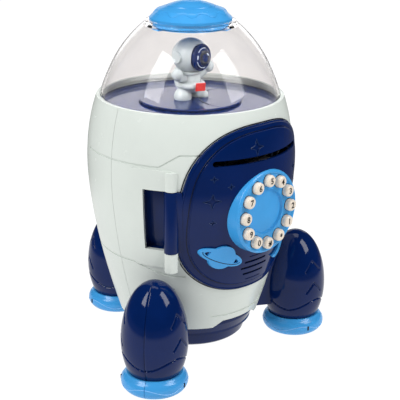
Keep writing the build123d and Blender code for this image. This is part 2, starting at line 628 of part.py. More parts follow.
# ------------------------------------------------------------ write every piece
def main():
    os.makedirs("parts", exist_ok=True)

    whole_shell = shell()
    save("front_shell", whole_shell & half_space(-1))
    save("rear_shell", whole_shell & half_space(1))
    save("shell_screws", shell_screws())
    save("hinge_recess_plate", hinge_recess_plate())
    save("hinge_pin", hinge_pin())

    save("base_cover", base_cover())
    save("battery_cover", battery_cover())
    save("batteries", batteries())
    save("chamber_floor", chamber_floor())

    save("deck", deck())
    save("turntable", turntable())
    save("turntable_gear", turntable_gear())
    save("motor_pinion", motor_pinion())
    save("turntable_motor", turntable_motor())
    save("gearbox_cover", gearbox_cover())
    save("dome", dome())
    save("dome_cap", dome_cap())

    figure, visor = astronaut_body(), astronaut_visor()
    save("astronaut_body", figure)
    save("astronaut_visor", visor)
    save("astronaut_helmet", astronaut_helmet(figure, visor))

    booster_whole, foot_whole = booster(), foot()
    for leg, azimuth in LEG_AZIMUTHS.items():
        place = Rot(0, 0, azimuth - 90) * Pos(LEG_R, 0, 0)
        for half, side in (("a", -1), ("b", 1)):
            save(f"booster_{leg}_{half}", place * (booster_whole & half_space(side)))
            save(f"foot_{leg}_{half}", place * (foot_whole & half_space(side)))
    save("leg_screws", leg_screws())

    save("door_panel", door_panel())
    save("door_back_cover", door_back_cover())
    save("latch_bolt", latch_bolt())
    save("latch_motor", latch_motor())
    save("planet_emblem", planet_emblem())
    save("moon_emblem", moon_emblem())
    save("dial_ring", dial_ring())
    for name, x, y in key_spots():
        save(f"key_{name}", key(x, y))
    save("keypad_mat", keypad_mat())
    save("circuit_board", circuit_board())
    save("speaker", speaker())
    save("feed_roller", feed_roller())
    save("feed_pinion", feed_pinion())
    save("idler_roller", idler_roller())
    save("feed_frame", feed_frame())
    save("feed_motor", feed_motor())


main()
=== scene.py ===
import json
import math

import bmesh
import bpy
import numpy as np
from mathutils import Matrix, Quaternion, Vector


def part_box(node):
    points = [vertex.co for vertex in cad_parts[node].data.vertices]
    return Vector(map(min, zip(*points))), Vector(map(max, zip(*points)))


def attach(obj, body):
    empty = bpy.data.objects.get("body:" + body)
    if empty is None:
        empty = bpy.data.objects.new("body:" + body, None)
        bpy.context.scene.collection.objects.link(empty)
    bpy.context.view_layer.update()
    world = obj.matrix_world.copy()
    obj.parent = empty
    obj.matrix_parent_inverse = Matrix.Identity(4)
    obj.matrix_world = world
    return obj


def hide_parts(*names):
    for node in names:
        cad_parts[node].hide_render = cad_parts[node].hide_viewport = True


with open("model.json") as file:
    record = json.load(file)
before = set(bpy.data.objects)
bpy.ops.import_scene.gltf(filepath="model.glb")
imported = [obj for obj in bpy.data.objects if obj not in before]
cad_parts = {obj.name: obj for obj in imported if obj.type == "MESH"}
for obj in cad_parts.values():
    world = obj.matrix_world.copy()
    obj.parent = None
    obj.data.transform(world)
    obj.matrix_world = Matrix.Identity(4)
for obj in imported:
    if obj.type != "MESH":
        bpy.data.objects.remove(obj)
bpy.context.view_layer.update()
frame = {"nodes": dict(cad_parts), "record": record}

# The camera, lamps and floor are in metres.  The object's sizes are in millimetres, used times MM.
# The body's vertical axis stands at (0, AXIS_Y); azimuths are measured about it from the door's
# side, -Y, and grow towards +X.
MM = 0.001
_deck_low, _deck_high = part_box("deck")
AXIS_Y = (_deck_low[1] + _deck_high[1]) / 2
LEGS = {"front_left": -60.0, "front_right": 60.0, "rear": 180.0}
LEG_OUT = 96.85         # from the body's axis to a leg's axis
LEG_HALF_SIGN = -1      # side of the seam, seen from outside, on which the halves named a lie
FOOT_R = 27.0
KEYS = ("1", "2", "3", "4", "5", "6", "7", "8", "9", "0", "hash", "star")
KEY_FACE_OUT = 88.4     # from the body's axis to the dial's face, in which the keys sit

# The white shell: an egg, widest at BODY_WIDE_Z.
BODY_R, BODY_WIDE_Z = 85.4, 165
# A booster: an egg, widest at BOOSTER_WIDE_Z, with unequal halves, cut off at BOOSTER_FOOT_Z.
BOOSTER_R, BOOSTER_WIDE_Z = 27.0, 43
BOOSTER_UP, BOOSTER_DOWN = 49.6, 44.4
BOOSTER_FOOT_Z, BOOSTER_TIP_Z = 14.5, 92.6
# The door's outline: a superellipse about (0, DOOR_MID_Z).
DOOR_HALF_WIDTH, DOOR_HALF_HEIGHT, DOOR_MID_Z, DOOR_POWER = 64.6, 69.4, 141.3, 2.62
# The figure and its turntable.  HEAD is the middle of the helmet, in metres.
HEAD = Vector((0, AXIS_Y, 251.8 * MM))
HEAD_R = 15.2
SOLE_Z = 216.5
VISOR_BULGE = 2.3
TURNTABLE_R, TURNTABLE_EDGE_Z = 41.4, 215.7


# ------------------------------------------------------------ camera, light and floor
def around(azimuth, radius, z):
    """Point at an azimuth, a distance from the body's axis and a height."""
    a = math.radians(azimuth)
    return Vector((radius * math.sin(a), AXIS_Y - radius * math.cos(a), z))


CAMERA_AZIMUTH, CAMERA_DISTANCE, CAMERA_HEIGHT = -43.9, 0.8731, 0.4264
CAMERA_YAW, CAMERA_PITCH, CAMERA_ROLL = 0.587, 18.907, 0.595
CAMERA_LENS, CAMERA_SENSOR = 97.78, 36.0
LIT_MIDDLE_Z = 0.14
FLOOR_REACH = 6.0
GLOSS_FADE = (0.34, 0.48)       # distances over which the floor fades out in the object's gloss


def make_camera():
    data = bpy.data.cameras.new("camera")
    data.lens = CAMERA_LENS
    data.sensor_width = CAMERA_SENSOR
    camera = bpy.data.objects.new("camera", data)
    bpy.context.scene.collection.objects.link(camera)
    camera.location = around(CAMERA_AZIMUTH, CAMERA_DISTANCE, CAMERA_HEIGHT)
    heading = math.radians(-CAMERA_AZIMUTH + CAMERA_YAW)
    pitch = math.radians(CAMERA_PITCH)
    level = math.cos(pitch)
    forward = Vector((math.sin(heading) * level, math.cos(heading) * level, -math.sin(pitch)))
    look = forward.to_track_quat("-Z", "Y")
    camera.rotation_mode = "QUATERNION"
    camera.rotation_quaternion = look @ Quaternion((0, 0, 1), math.radians(CAMERA_ROLL))
    bpy.context.scene.camera = camera


def softbox(name, azimuth, elevation, distance, width, height, power):
    """Rectangular studio lamp aimed at the middle of the object."""
    data = bpy.data.lights.new(name, "AREA")
    data.shape = "RECTANGLE"
    data.size, data.size_y = width, height
    data.energy = power
    lamp = bpy.data.objects.new(name, data)
    bpy.context.scene.collection.objects.link(lamp)
    target = Vector((0, AXIS_Y, LIT_MIDDLE_Z))
    e = math.radians(elevation)
    flat = around(azimuth, distance * math.cos(e), 0) - Vector((0, AXIS_Y, 0))
    lamp.location = target + Vector((flat.x, flat.y, distance * math.sin(e)))
    lamp.rotation_euler = (target - lamp.location).to_track_quat("-Z", "Y").to_euler()


def by_ray(tree, general, mirrored, seen):
    """Brightness for lighting, in a gloss, and as seen straight or through clear plastic."""
    path = tree.nodes.new("ShaderNodeLightPath")
    view = tree.nodes.new("ShaderNodeMath")
    view.operation = "MAXIMUM"
    tree.links.new(path.outputs["Is Camera Ray"], view.inputs[0])
    tree.links.new(path.outputs["Is Transmission Ray"], view.inputs[1])
    gloss = tree.nodes.new("ShaderNodeMix")
    gloss.inputs["A"].default_value = general
    gloss.inputs["B"].default_value = mirrored
    tree.links.new(path.outputs["Is Glossy Ray"], gloss.inputs["Factor"])
    level = tree.nodes.new("ShaderNodeMix")
    level.inputs["B"].default_value = seen
    tree.links.new(gloss.outputs["Result"], level.inputs["A"])
    tree.links.new(view.outputs["Value"], level.inputs["Factor"])
    return level.outputs["Result"], gloss.inputs["B"]


def make_studio():
    softbox("soft_left", CAMERA_AZIMUTH - 52, 42, 1.3, 0.5, 0.8, 10)
    softbox("soft_right", CAMERA_AZIMUTH + 66, 40, 1.3, 0.5, 0.8, 8.5)
    softbox("soft_top", CAMERA_AZIMUTH + 170, 80, 1.2, 0.7, 0.5, 2.5)
    softbox("soft_back", CAMERA_AZIMUTH + 180, 13, 1.6, 1.8, 0.5, 2.5)
    world = bpy.data.worlds.new("studio")
    world.use_nodes = True
    tree = world.node_tree
    room = tree.nodes["Background"]
    room.inputs[0].default_value = (0.97, 0.98, 1.0, 1)
    brightness, _ = by_ray(tree, 0.3, 0.03, 1.15)
    tree.links.new(brightness, room.inputs[1])
    bpy.context.scene.world = world
    bpy.context.scene.view_settings.view_transform = "Standard"


def floor_paper():
    """Pale paper that fades out, in the object's gloss, a little way round the object."""
    material = bpy.data.materials.new("floor_paper")
    material.use_nodes = True
    tree = material.node_tree
    shader = tree.nodes["Principled BSDF"]
    shader.inputs["Base Color"].default_value = (0.1, 0.1, 0.1, 1)
    shader.inputs["Roughness"].default_value = 0.8
    shader.inputs["Specular IOR Level"].default_value = 0.0
    shader.inputs["Emission Color"].default_value = (1, 1, 1, 1)
    place = tree.nodes.new("ShaderNodeNewGeometry")
    reach = tree.nodes.new("ShaderNodeVectorMath")
    reach.operation = "LENGTH"
    tree.links.new(place.outputs["Position"], reach.inputs[0])
    fade = tree.nodes.new("ShaderNodeMapRange")
    fade.inputs["From Min"].default_value = GLOSS_FADE[0]
    fade.inputs["From Max"].default_value = GLOSS_FADE[1]
    fade.inputs["To Min"].default_value = 0.75
    fade.inputs["To Max"].default_value = 0.03
    tree.links.new(reach.outputs["Value"], fade.inputs["Value"])
    brightness, mirrored = by_ray(tree, 0.9, 0.5, 1.0)
    tree.links.new(fade.outputs["Result"], mirrored)
    tree.links.new(brightness, shader.inputs["Emission Strength"])
    return material


def make_floor():
    mesh = bpy.data.meshes.new("floor")
    corners = [(x * FLOOR_REACH, y * FLOOR_REACH, 0) for x, y in ((-1, -1), (1, -1), (1, 1), (-1, 1))]
    mesh.from_pydata(corners, [], [(0, 1, 2, 3)])
    floor = bpy.data.objects.new("floor", mesh)
    bpy.context.scene.collection.objects.link(floor)
    mesh.materials.append(floor_paper())


make_camera()
make_studio()
make_floor()


# ------------------------------------------------------------ materials
def new_material(name):
    material = bpy.data.materials.new(name)
    material.use_nodes = True
    tree = material.node_tree
    return material, tree, tree.nodes["Principled BSDF"]


def noise(tree, scale, detail=3.0, roughness=0.5):
    """Noise in the object's own space, scale in cells per metre."""
    place = tree.nodes.new("ShaderNodeTexCoord")
    node = tree.nodes.new("ShaderNodeTexNoise")
    node.inputs["Scale"].default_value = scale
    node.inputs["Detail"].default_value = detail
    node.inputs["Roughness"].default_value = roughness
    tree.links.new(place.outputs["Object"], node.inputs["Vector"])
    return node


def blend_of(tree, factor, low, high, dark, light):
    """Colour that runs from dark to light as the factor goes from low to high."""
    ramp = tree.nodes.new("ShaderNodeValToRGB")
    ramp.color_ramp.elements[0].position = low
    ramp.color_ramp.elements[1].position = high
    ramp.color_ramp.elements[0].color = (*dark, 1)
    ramp.color_ramp.elements[1].color = (*light, 1)
    tree.links.new(factor, ramp.inputs["Fac"])
    return ramp.outputs["Color"]


def bump(tree, shader, height, strength, distance):
    """Fine relief of a surface, from a height output."""
    node = tree.nodes.new("ShaderNodeBump")
    node.inputs["Strength"].default_value = strength
    node.inputs["Distance"].default_value = distance
    tree.links.new(height, node.inputs["Height"])
    tree.links.new(node.outputs["Normal"], shader.inputs["Normal"])


def moulded(name, color, rough=(0.12, 0.2), vary=0.05, coat=0.0, skin=0.25, specular=0.5):
    """Injection-moulded plastic: faint flow mottle, uneven gloss and a fine skin."""
    material, tree, shader = new_material(name)
    mottle = noise(tree, 38, 4, 0.6)
    darker = tuple(c * (1 - vary) for c in color)
    lighter = tuple(min(1.0, c * (1 + vary)) for c in color)
    shade = blend_of(tree, mottle.outputs["Fac"], 0.35, 0.65, darker, lighter)
    tree.links.new(shade, shader.inputs["Base Color"])
    gloss = noise(tree, 90, 5, 0.65)
    spread = tree.nodes.new("ShaderNodeMapRange")
    spread.inputs["From Min"].default_value = 0.3
    spread.inputs["From Max"].default_value = 0.7
    spread.inputs["To Min"].default_value = rough[0]
    spread.inputs["To Max"].default_value = rough[1]
    tree.links.new(gloss.outputs["Fac"], spread.inputs["Value"])
    tree.links.new(spread.outputs["Result"], shader.inputs["Roughness"])
    bump(tree, shader, noise(tree, 420, 2).outputs["Fac"], skin, 0.00003)
    shader.inputs["IOR"].default_value = 1.5
    shader.inputs["Coat Weight"].default_value = coat
    shader.inputs["Coat Roughness"].default_value = 0.05
    shader.inputs["Specular IOR Level"].default_value = specular
    return material


def clear_plastic(name, tint):
    """Thin clear moulding with faint haze, which lets the light through to what is under it."""
    material, tree, shader = new_material(name)
    haze = noise(tree, 60, 3)
    edge = tuple(c * 0.96 for c in tint)
    shade = blend_of(tree, haze.outputs["Fac"], 0.3, 0.7, edge, tint)
    tree.links.new(shade, shader.inputs["Base Color"])
    shader.inputs["Transmission Weight"].default_value = 1.0
    shader.inputs["IOR"].default_value = 1.1
    shader.inputs["Roughness"].default_value = 0.02
    shader.inputs["Coat Weight"].default_value = 0.35
    shader.inputs["Coat Roughness"].default_value = 0.03
    bump(tree, shader, noise(tree, 25, 1).outputs["Fac"], 0.06, 0.0004)
    clear = tree.nodes.new("ShaderNodeBsdfTransparent")
    clear.inputs["Color"].default_value = (0.95, 0.95, 0.95, 1)
    path = tree.nodes.new("ShaderNodeLightPath")
    both = tree.nodes.new("ShaderNodeMixShader")
    tree.links.new(path.outputs["Is Shadow Ray"], both.inputs[0])
    tree.links.new(shader.outputs["BSDF"], both.inputs[1])
    tree.links.new(clear.outputs["BSDF"], both.inputs[2])
    tree.links.new(both.outputs["Shader"], tree.nodes["Material Output"].inputs["Surface"])
    return material


def metal(name, color, rough):
    """Plated metal with a fine grain."""
    material, tree, shader = new_material(name)
    grain = noise(tree, 600, 4)
    darker = tuple(c * 0.85 for c in color)
    shade = blend_of(tree, grain.outputs["Fac"], 0.3, 0.7, darker, color)
    tree.links.new(shade, shader.inputs["Base Color"])
    shader.inputs["Metallic"].default_value = 1.0
    shader.inputs["Roughness"].default_value = rough
    bump(tree, shader, grain.outputs["Fac"], 0.2, 0.00003)
    return material


MATERIALS = {
    "white_shell": moulded("white_shell", (0.70, 0.75, 0.705), (0.2, 0.28), 0.012, skin=0.1),
    "clear_dome": clear_plastic("clear_dome", (0.925, 0.905, 0.895)),
    "light_blue": moulded("light_blue", (0.05, 0.355, 0.78), (0.2, 0.28), 0.04),
    "navy": moulded("navy", (0.001, 0.013, 0.088), (0.06, 0.1), 0.08, skin=0.06, specular=0.3),
    "dark_inner": moulded("dark_inner", (0.012, 0.02, 0.05), (0.45, 0.6), 0.2),
    "cream_key": moulded("cream_key", (0.86, 0.76, 0.64), (0.2, 0.3), 0.03),
    "figure_grey": moulded("figure_grey", (0.48, 0.53, 0.54), (0.16, 0.24), 0.03),
    "visor": moulded("visor", (0.004, 0.008, 0.025), (0.03, 0.06), 0.1, coat=0.5, skin=0.05),
    "steel": metal("steel", (0.62, 0.62, 0.64), 0.3),
    "gear_plastic": moulded("gear_plastic", (0.7, 0.7, 0.64), (0.35, 0.5), 0.05),
    "rubber": moulded("rubber", (0.03, 0.03, 0.032), (0.6, 0.8), 0.2, skin=0.5),
    "board": moulded("board", (0.02, 0.16, 0.06), (0.3, 0.45), 0.15),
    "speaker": moulded("speaker", (0.03, 0.03, 0.03), (0.5, 0.7), 0.2),
    "cell": moulded("cell", (0.06, 0.06, 0.07), (0.2, 0.35), 0.1),
}
INK = moulded("ink", (0.012, 0.012, 0.014), (0.4, 0.5), 0.1)
# Painted highlight: a navy lighter than the door's, so that the raised star outlines look lit along their
# edges.
STAR_EDGE_HIGHLIGHT = moulded("star_edge_highlight", (0.012, 0.035, 0.12), (0.15, 0.25), 0.1)
# Painted shade: a near-black navy for thin beads that stand in for the shade inside grooves, slots and gaps
# between parts, which are not cut.
GROOVE_SHADE = moulded("groove_shade", (0.001, 0.003, 0.018), (0.3, 0.45), 0.2)
FOOT_LINE = moulded("foot_line", (0.20, 0.52, 0.95), (0.25, 0.35), 0.04)
BADGE = moulded("badge", (0.62, 0.03, 0.025), (0.3, 0.4), 0.05)
GLINT = moulded("glint", (0.75, 0.85, 0.95), (0.2, 0.3), 0.02)

for row in frame["record"]["subparts"]:
    finish = MATERIALS[row["material_slot"]]
    mesh = frame["nodes"][row["node"]].data
    mesh.materials.clear()
    mesh.materials.append(finish)


# ------------------------------------------------------------ shared builders
def link(name, mesh, material, body):
    """Make an object of a mesh, give it its material and let it ride on a body."""
    piece = bpy.data.objects.new(name, mesh)
    bpy.context.scene.collection.objects.link(piece)
    mesh.materials.clear()
    mesh.materials.append(material)
    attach(piece, body)
    return piece


def settled(source):
    """Mesh of an object with its modifiers or curve bevel applied; the object is removed."""
    bpy.context.view_layer.update()
    view = bpy.context.evaluated_depsgraph_get()
    mesh = bpy.data.meshes.new_from_object(source.evaluated_get(view))
    mesh.transform(source.matrix_world)
    bpy.data.objects.remove(source)
    return mesh


def mesh_of(form, name):
    """Mesh of a bmesh, which is freed."""
    mesh = bpy.data.meshes.new(name)
    form.to_mesh(mesh)
    form.free()
    return mesh


def smooth(mesh, angle=35):
    """Smooth shading, with edges sharp from an angle on."""
    mesh.shade_smooth()
    mesh.set_sharp_from_angle(angle=math.radians(angle))


def bead(name, points, radius, material, body, closed=False):
    """Round bead along a chain of points, as a mesh."""
    data = bpy.data.curves.new(name, "CURVE")
    data.dimensions = "3D"
    data.bevel_depth = radius
    data.bevel_resolution = 3
    data.use_fill_caps = True
    line = data.splines.new("POLY")
    line.points.add(len(points) - 1)
    for spot, point in zip(line.points, points):
        spot.co = (*point, 1)
    line.use_cyclic_u = closed
    source = bpy.data.objects.new(name, data)
    bpy.context.scene.collection.objects.link(source)
    mesh = settled(source)
    smooth(mesh)
    return link(name, mesh, material, body)


def between(a, b, count):
    """Evenly spaced values from a to b, both included."""
    return [a + (b - a) * i / (count - 1) for i in range(count)]


def turn(count):
    """Evenly spaced angles round a full turn, the first not repeated."""
    return between(0, math.tau * (count - 1) / count, count)


def level_ring(across, deep, z, count):
    """Points of a level ellipse about the body's axis."""
    return [(across * MM * math.cos(a), AXIS_Y + deep * MM * math.sin(a), z * MM) for a in turn(count)]


def body_radius(z):
    """Radius of the white shell's outer face at a height, in millimetres."""
    if z < BODY_WIDE_Z:
        return BODY_R - 30.5 * ((BODY_WIDE_Z - z) / 145) ** 1.64
    return BODY_R - 7.8 * ((z - BODY_WIDE_Z) / 54) ** 2.27


# ------------------------------------------------------------ digits on the keys
def make_digits():
    for key in KEYS:
        sign = {"hash": "#", "star": "*"}.get(key, key)
        low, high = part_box(f"key_{key}")
        data = bpy.data.curves.new(f"digit_{key}", "FONT")
        data.body = sign
        data.size = 6.6 * MM
        data.align_x, data.align_y = "CENTER", "CENTER"
        data.extrude = 0.12 * MM
        data.offset = 0.12 * MM
        source = bpy.data.objects.new(f"digit_{key}", data)
        bpy.context.scene.collection.objects.link(source)
        drop = 1.1 * MM if sign == "*" else 0.0
        source.location = ((low[0] + high[0]) / 2, low[1], (low[2] + high[2]) / 2 - drop)
        source.rotation_euler = (math.pi / 2, 0, 0)
        piece = link(f"digit_{key}", settled(source), INK, f"key_{key}")


# ------------------------------------------------------------ boosters and feet
def booster_radius(z):
    """Radius of a booster at a height, in millimetres."""
    height = BOOSTER_UP if z > BOOSTER_WIDE_Z else BOOSTER_DOWN
    return BOOSTER_R * math.sqrt(max(0.0, 1 - ((z - BOOSTER_WIDE_Z) / height) ** 2))


def leg_point(leg, angle, radius, z):
    """Point about a leg's axis; the angle is 0 on the seam that faces away from the body."""
    centre = around(LEGS[leg], LEG_OUT * MM, 0)
    a = math.radians(LEGS[leg] + angle)
    return (centre.x + radius * MM * math.sin(a), centre.y - radius * MM * math.cos(a), z * MM)


def strut_point(leg, sideways, outwards, z):
    """Point given by distances along and across the line from the body's axis to a leg."""
    a = math.radians(LEGS[leg])
    x = outwards * math.sin(a) + sideways * math.cos(a)
    y = -outwards * math.cos(a) + sideways * math.sin(a)
    return (x * MM, AXIS_Y + y * MM, z * MM)


def chevron(apex_z, foot_z, centre, half_width):
    """Angle and height of points down both sides of an arrow mark."""
    rise = [(centre - half_width * (1 - t), foot_z + (apex_z - foot_z) * t) for t in between(0, 1, 7)]
    fall = [(centre + half_width * t, apex_z - (apex_z - foot_z) * t) for t in between(0, 1, 7)]
    return rise + fall[1:]


CHEVRON_ANGLE = 68
GROOVE_DEPTH = 0.9


def booster_grooves(side):
    """Lines cut into one half of a booster: (angle, height) points, a half-width and a depth."""
    wave = [(side * a, 30.2 - 4.2 * math.cos(math.radians(3 * a))) for a in between(0, 170, 86)]
    lines = [(wave, 0.75, GROOVE_DEPTH)]
    for apex_z, foot_z, half_width in ((51, 42, 17), (70, 61, 18)):
        lines.append((chevron(apex_z, foot_z, side * CHEVRON_ANGLE, half_width), 0.7, GROOVE_DEPTH))
    return lines


def groove_depth(points, lines):
    """Depth at each (angle, height) point of the lines cut into a booster."""
    depth = np.zeros(len(points))
    radii = np.array([booster_radius(z) for z in points[:, 1]])
    flat = np.column_stack([np.radians(points[:, 0]) * radii, points[:, 1]])
    for line, width, deep in lines:
        nearest = np.full(len(points), 99.0)
        for (a0, z0), (a1, z1) in zip(line, line[1:]):
            start = np.column_stack([math.radians(a0) * radii, np.full(len(points), z0)])
            run = np.column_stack([math.radians(a1 - a0) * radii, np.full(len(points), z1 - z0)])
            share = np.clip(((flat - start) * run).sum(1) / np.maximum((run * run).sum(1), 1e-9), 0, 1)
            gap = np.hypot(*(flat - start - run * share[:, None]).T)
            nearest = np.minimum(nearest, gap)
        depth = np.maximum(depth, deep * np.exp(-(nearest / width) ** 4))
    return depth


def booster_egg(form, leg, side):
    """Half of a grooved egg, with its edges at the seam rounded over, closed at the seam and below."""
    across, up = 150, 140
    foot_angle = math.asin((BOOSTER_WIDE_Z - BOOSTER_FOOT_Z) / BOOSTER_DOWN)
    heights = [BOOSTER_WIDE_Z - BOOSTER_DOWN * math.sin(a) for a in between(foot_angle, 0, up // 3)]
    heights += [BOOSTER_WIDE_Z + BOOSTER_UP * math.sin(a) for a in between(0, math.pi / 2 * 0.995, up)][1:]
    angles = between(0.35, 179.65, across)
    depth = groove_depth(np.array([(side * a, z) for z in heights for a in angles]), booster_grooves(side))
    rows = []
    for i, z in enumerate(heights):
        row = []
        for j, a in enumerate(angles):
            edge = min(j, across - 1 - j)
            rounding = 0.45 * math.exp(-(edge * 1.2 / 1.4) ** 2)
            radius = max(0.05, booster_radius(z) - depth[i * across + j] - rounding)
            row.append(form.verts.new(leg_point(leg, side * a, radius, z)))
        rows.append(row)
    top = form.verts.new(leg_point(leg, side * 90, 0.1, BOOSTER_TIP_Z))
    for low, high in zip(rows, rows[1:]):
        for k in range(across - 1):
            form.faces.new((low[k], low[k + 1], high[k + 1], high[k]))
    for k in range(across - 1):
        form.faces.new((rows[-1][k], rows[-1][k + 1], top))
    form.faces.new(rows[0])
    form.faces.new([row[0] for row in rows] + [top] + [row[-1] for row in reversed(rows)])


def booster_strut(form, leg, side):
    """Half of the web that joins a booster to the shell, from the seam outwards."""
    seam, half_thickness = 0.15, 8.5
    levels = between(27, 76, 18)
    ends = []
    for width in (seam, half_thickness):
        for z in levels:
            inner = math.sqrt(body_radius(z) ** 2 - width ** 2) - 0.4
            ends.append([form.verts.new(strut_point(leg, side * width, inner, z)),
                         form.verts.new(strut_point(leg, side * width, LEG_OUT - 6, z))])
    count = len(levels)
    for k in range(count - 1):
        for base in (0, count):
            here, above = ends[base + k], ends[base + k + 1]
            form.faces.new((here[0], here[1], above[1], above[0]))
        for tip in (0, 1):
            form.faces.new((ends[k][tip], ends[k + 1][tip], ends[count + k + 1][tip], ends[count + k][tip]))
    for k in (0, count - 1):
        form.faces.new((ends[k][0], ends[k][1], ends[count + k][1], ends[count + k][0]))


def make_booster(leg, half, side):
    """Half of a booster: grooved egg with its half of the strut."""
    form = bmesh.new()
    booster_egg(form, leg, side)
    booster_strut(form, leg, side)
    bmesh.ops.recalc_face_normals(form, faces=form.faces)
    mesh = mesh_of(form, f"booster_{leg}_{half}")
    smooth(mesh, 40)
    piece = link(f"booster_skin_{leg}_{half}", mesh, MATERIALS["navy"], "body")
    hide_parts(f"booster_{leg}_{half}")


def make_legs():
    """Boosters, and the wave and the dark slot on each side of each foot; the slot is a bead of painted
    shade.
    """
    for leg in LEGS:
        for side, label in ((-1, "left"), (1, "right")):
            make_booster(leg, "a" if side == LEG_HALF_SIGN else "b", side)
            foot = [leg_point(leg, side * a, FOOT_R - 0.25, 8 + 2.2 * math.cos(math.radians(4 * a)))
                    for a in between(0.6, 179.4, 70)]
            line = bead(f"foot_wave_{label}_{leg}", foot, 0.4 * MM, FOOT_LINE, "body")
            # The slot is a dark bead of painted shade, not a cut.
            notch = [leg_point(leg, side * 78, FOOT_R - 0.1, z) for z in between(6.5, 10.0, 5)]
            slot = bead(f"foot_slot_{label}_{leg}", notch, 0.8 * MM, GROOVE_SHADE, "body")


# ------------------------------------------------------------ relief on the cap
CAP_PROFILE = ((33.4, 283.0), (27.6, 288.6), (19.6, 291.4))     # radius and height, outside to inside
RELIEF_IN, RELIEF_OUT = 19.5, 28.6


def cap_height(r):
    """Height of the cap's sloping faces at a distance from its axis, in millimetres."""
    for (r0, z0), (r1, z1) in zip(CAP_PROFILE, CAP_PROFILE[1:]):
        if r1 <= r <= r0:
            return z0 + (z1 - z0) * (r0 - r) / (r0 - r1)
    return CAP_PROFILE[-1][1]


def make_cap_relief():
    """Thin wavy-edged layer that lies on the cap's slopes."""
    form = bmesh.new()
    steps, rings = 220, 9
    grid = []
    for i in range(steps):
        a = math.tau * i / steps
        edge = RELIEF_OUT + 1.5 * math.cos(11 * a) + 0.4 * math.cos(5 * a + 1)
        column = []
        for t in between(0, 1, rings):
            r = RELIEF_IN + (edge - RELIEF_IN) * t
            lift = 0.75 if t < 0.96 else 0.35
            column.append((r, cap_height(r) + lift))
        column.append((edge + 0.1, cap_height(edge) - 0.4))
        column.append((RELIEF_IN, cap_height(RELIEF_IN) - 0.6))
        c, s = math.cos(a), math.sin(a)
        grid.append([form.verts.new((r * MM * c, AXIS_Y + r * MM * s, z * MM)) for r, z in column])
    for i in range(steps):
        here, there = grid[i], grid[(i + 1) % steps]
        for j in range(len(here)):
            k = (j + 1) % len(here)
            form.faces.new((here[j], here[k], there[k], there[j]))
    bmesh.ops.recalc_face_normals(form, faces=form.faces)
    mesh = mesh_of(form, "cap_relief")
    smooth(mesh, 30)
    link("cap_relief", mesh, MATERIALS["light_blue"], "body")


# ------------------------------------------------------------ astronaut
def melted(name, balls, voxel, material, passes=6):
    """One smooth body made of many overlapping balls, each (x, y, z, radius) in millimetres."""
    form = bmesh.new()
    for x, y, z, r in balls:
        place = Matrix.Translation((x * MM, AXIS_Y + y * MM, z * MM))
        bmesh.ops.create_icosphere(form, subdivisions=3, radius=r * MM, matrix=place)
    source = bpy.data.objects.new(name, mesh_of(form, name))
    bpy.context.scene.collection.objects.link(source)
    remesh = source.modifiers.new("remesh", "REMESH")
    remesh.mode = "VOXEL"
    remesh.voxel_size = voxel * MM
    relax = source.modifiers.new("relax", "SMOOTH")
    relax.iterations = passes
    mesh = settled(source)
    mesh.shade_smooth()
    for corner in mesh.vertices:
        corner.co.z = max(corner.co.z, SOLE_Z * MM)
    return link(name, mesh, material, "turntable")


def limb(start, end, count=9):
    """Balls that run from one (x, y, z, radius) to another."""
    return [tuple(a + (b - a) * t for a, b in zip(start, end)) for t in between(0, 1, count)]


def make_suit():
    """Torso, hips and legs in one."""
    torso = limb((0, 0, 231, 8.6), (0, 0, 237, 7.4), 5)
    hips = limb((-5.0, 0, 225, 5.6), (5.0, 0, 225, 5.6), 6)
    left_leg = limb((-6.4, 0.5, 224.5, 4.8), (-8.2, 0.2, 218.6, 7.4), 9)
    right_leg = limb((6.2, 0.5, 224.5, 4.8), (8.4, -0.6, 219.0, 5.8), 8)
    right_toe = limb((8.4, -0.6, 218.2, 5.4), (10.6, -4.6, 217.8, 4.4), 6)
    balls = torso + hips + left_leg + right_leg + right_toe
    body = melted("astronaut_suit", balls, 0.45, MATERIALS["figure_grey"], 4)
    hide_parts("astronaut_body")


def make_arms():
    """Raised arms that end in round fists."""
    grey = MATERIALS["figure_grey"]
    for side, y, z, label in ((-1, -1.0, 237.6, "left"), (1, -4.5, 241.0, "right")):
        sleeve = limb((side * 7.0, 0, 233.5, 3.9), (side * 12.6, y * 0.6, z - 3.0, 3.6), 7)
        arm = melted(f"astronaut_arm_{label}", sleeve, 0.4, grey, 3)
        glove = limb((side * 15.6, y, z, 4.7), (side * 15.9, y - 0.4, z + 0.8, 4.4), 3)
        fist = melted(f"astronaut_fist_{label}", glove, 0.4, grey, 3)


def make_backpack():
    balls = []
    for x, y, r in ((-4.2, 8.8, 4.2), (4.2, 8.8, 4.2), (0, 9.6, 4.4)):
        balls += limb((x, y, 229, r), (x, y, 238, r), 6)
    pack = melted("astronaut_backpack", balls, 0.5, MATERIALS["figure_grey"], 5)


def make_suit_rings():
    for name, across, deep, z, width in (("astronaut_hem", 10.2, 9.2, 227.6, 2.7),
                                         ("astronaut_collar", 8.2, 7.8, 238.0, 1.3)):
        ring = level_ring(across, deep, z, 64)
        bead(name, ring, width * MM, MATERIALS["figure_grey"], "turntable", True)


def make_patch():
    """Plain coloured badge on the figure's hip."""
    form = bmesh.new()
    bmesh.ops.create_cube(form, size=1.0)
    bmesh.ops.scale(form, vec=(9.6 * MM, 1.0 * MM, 6.6 * MM), verts=form.verts)
    bmesh.ops.bevel(form, geom=form.edges, offset=0.25 * MM, segments=3, affect="EDGES")
    tilt = Matrix.Rotation(math.radians(-8), 4, "Z") @ Matrix.Rotation(math.radians(4), 4, "Y")
    form.transform(Matrix.Translation((-1.1 * MM, AXIS_Y - 13.2 * MM, 227.6 * MM)) @ tilt)
    mesh = mesh_of(form, "badge")
    smooth(mesh, 30)
    link("badge", mesh, BADGE, "turntable")


